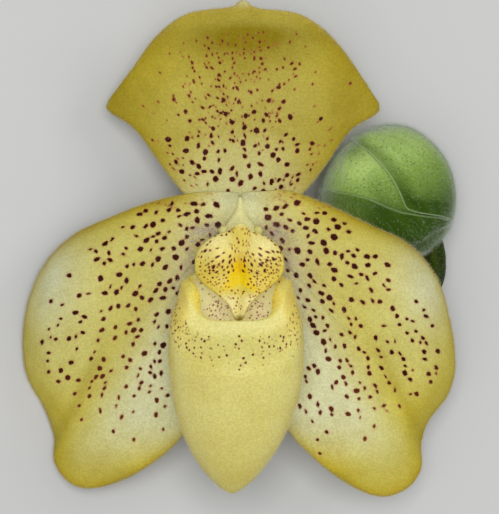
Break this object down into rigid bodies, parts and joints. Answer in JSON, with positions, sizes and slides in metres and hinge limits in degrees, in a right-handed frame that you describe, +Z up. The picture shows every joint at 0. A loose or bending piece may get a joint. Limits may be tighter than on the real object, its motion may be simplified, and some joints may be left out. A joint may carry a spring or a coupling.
{
  "type": "paphiopedilum orchid",
  "caption": "Cut slipper orchid with an open spotted yellow bloom and a green bud on a short scape, lying on its back on a surface.",
  "frame": {"origin": "on the table under the middle of the bounding box, seen from above", "axes": "+Z up from the table and out of the bloom's face, +Y along the bloom towards its dorsal sepal, +X towards the bud"},
  "size_m": [0.0598, 0.0674, 0.0299],
  "materials": {
    "petal": "matt waxy tissue, spotted, with a downy edge",
    "lip": "smooth waxy tissue",
    "staminode": "glossy swollen tissue, finely spotted",
    "column": "waxy cream tissue",
    "green": "green tissue under white down",
    "stem": "green stalk with short purple down"
  },
  "bodies": {
    "root": {"dorsal_sepal": "petal", "synsepal": "petal", "petal_left": "petal", "petal_right": "petal", "pouch": "lip", "column": "column", "staminode": "staminode", "stigma": "column", "anther_left": "column", "anther_right": "column", "ovary": "green", "floral_bract": "green", "scape": "stem", "bud_ovary": "green", "bud_bract": "green", "bud_dorsal_sepal": "green", "bud_synsepal": "green", "bud_petals": "green"}
  },
  "joints": []
}
